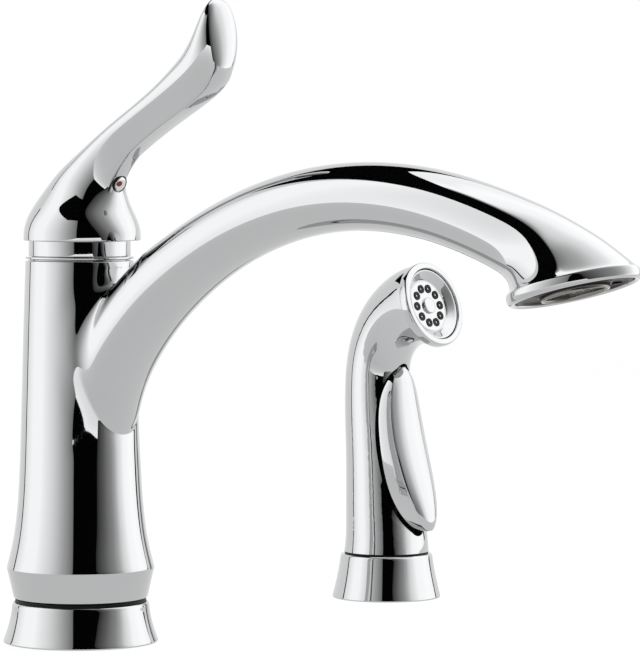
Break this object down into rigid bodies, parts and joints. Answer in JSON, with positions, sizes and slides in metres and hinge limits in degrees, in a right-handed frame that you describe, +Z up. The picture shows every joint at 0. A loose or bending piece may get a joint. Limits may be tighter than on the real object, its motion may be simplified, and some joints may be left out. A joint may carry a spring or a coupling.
{
  "type": "single lever kitchen faucet with side sprayer",
  "caption": "Chrome deck-mounted kitchen mixer: a swivelling arched spout with an aerator, a domed swan-neck lever on top, and a lift-out hand sprayer in its own holder beside it.",
  "frame": {"origin": "centre of the base ring's underside, on the deck, on the body's axis", "axes": "+Z up along the body's axis, -Y the way the spout points, +X towards the side sprayer"},
  "size_m": [0.2359, 0.2789, 0.3052],
  "materials": {
    "chrome": "polished",
    "brass": "machined",
    "steel": "plain",
    "black_plastic": "moulded",
    "grey_plastic": "moulded",
    "white_plastic": "satin",
    "ceramic": "lapped",
    "rubber": "plain",
    "button": "red and blue halves"
  },
  "bodies": {
    "base": {"base_ring": "chrome", "deck_gasket": "rubber", "swivel_washer": "black_plastic", "valve_body": "brass", "spout_seals": "rubber", "mounting_shank": "brass", "mounting_washer": "steel", "mounting_nut": "steel", "lock_screws": "steel", "hot_inlet": "brass", "cold_inlet": "brass", "spray_outlet": "brass", "diverter_cage": "black_plastic", "diverter_spring": "steel", "cartridge_housing": "white_plastic", "cartridge_seals": "rubber", "lower_disc": "ceramic", "bonnet_nut": "brass", "cap_ring": "chrome", "spray_holder": "chrome", "holder_gasket": "rubber", "holder_shank": "black_plastic", "holder_washer": "steel", "holder_nut": "black_plastic"},
    "spout": {"spout_shell": "chrome", "spout_bush": "black_plastic", "aerator_housing": "grey_plastic", "aerator_ring": "grey_plastic", "aerator_screens": "steel", "aerator_washer": "rubber"},
    "carrier": {"stem_carrier": "white_plastic", "stem_pin": "steel"},
    "flow_disc": {"upper_disc": "ceramic", "disc_holder": "white_plastic"},
    "lever": {"cartridge_stem": "brass", "handle": "chrome", "temperature_button": "button", "set_screw": "steel"},
    "diverter": {"diverter_poppet": "black_plastic"},
    "sprayer": {"spray_body": "chrome", "spray_core": "black_plastic", "head_ring": "chrome", "spray_plate": "white_plastic", "spray_nozzles": "rubber", "plate_screw": "chrome", "trigger_pin": "steel", "hose_coupling": "brass", "coupling_washer": "rubber", "trigger_spring": "steel"},
    "trigger": {"spray_trigger": "chrome"},
    "valve": {"valve_stem": "black_plastic"}
  },
  "joints": [
    {"name": "spout_swivel", "type": "hinge", "parent": "base", "child": "spout", "pos_m": [0, 0, 0.08], "axis": [0, 0, 1], "range_deg": [-60, 60]},
    {"name": "handle_turn", "type": "hinge", "parent": "base", "child": "carrier", "pos_m": [0, 0, 0.135], "axis": [0, 0, 1], "range_deg": [-50, 50]},
    {"name": "handle_lift", "type": "hinge", "parent": "carrier", "child": "lever", "pos_m": [0, 0, 0.139], "axis": [-1, 0, 0], "range_deg": [0, 22]},
    {"name": "disc_slide", "type": "slide", "parent": "carrier", "child": "flow_disc", "axis": [0, -1, 0], "range_m": [0, 0.0037]},
    {"name": "diverter_slide", "type": "slide", "parent": "base", "child": "diverter", "axis": [0, 0, -1], "range_m": [0, 0.003], "stiffness_N_per_m": 150, "springref_m": -0.003, "deforming": ["diverter_spring"]},
    {"name": "sprayer_lift", "type": "slide", "parent": "base", "child": "sprayer", "axis": [0, 0, 1], "range_m": [0, 0.045]},
    {"name": "trigger_press", "type": "hinge", "parent": "sprayer", "child": "trigger", "pos_m": [0.1845, -0.0026, 0.0915], "axis": [1, 0, 0], "range_deg": [0, 5], "stiffness_Nm_per_rad": 0.3, "springref_deg": -4.58},
    {"name": "valve_slide", "type": "slide", "parent": "sprayer", "child": "valve", "axis": [0, 1, 0], "range_m": [0, 0.0026], "deforming": ["trigger_spring"]}
  ],
  "couplings": [
    {"joint": "disc_slide", "follows": "handle_lift", "m_per_rad": 0.0095},
    {"joint": "valve_slide", "follows": "trigger_press", "m_per_rad": 0.0295}
  ]
}
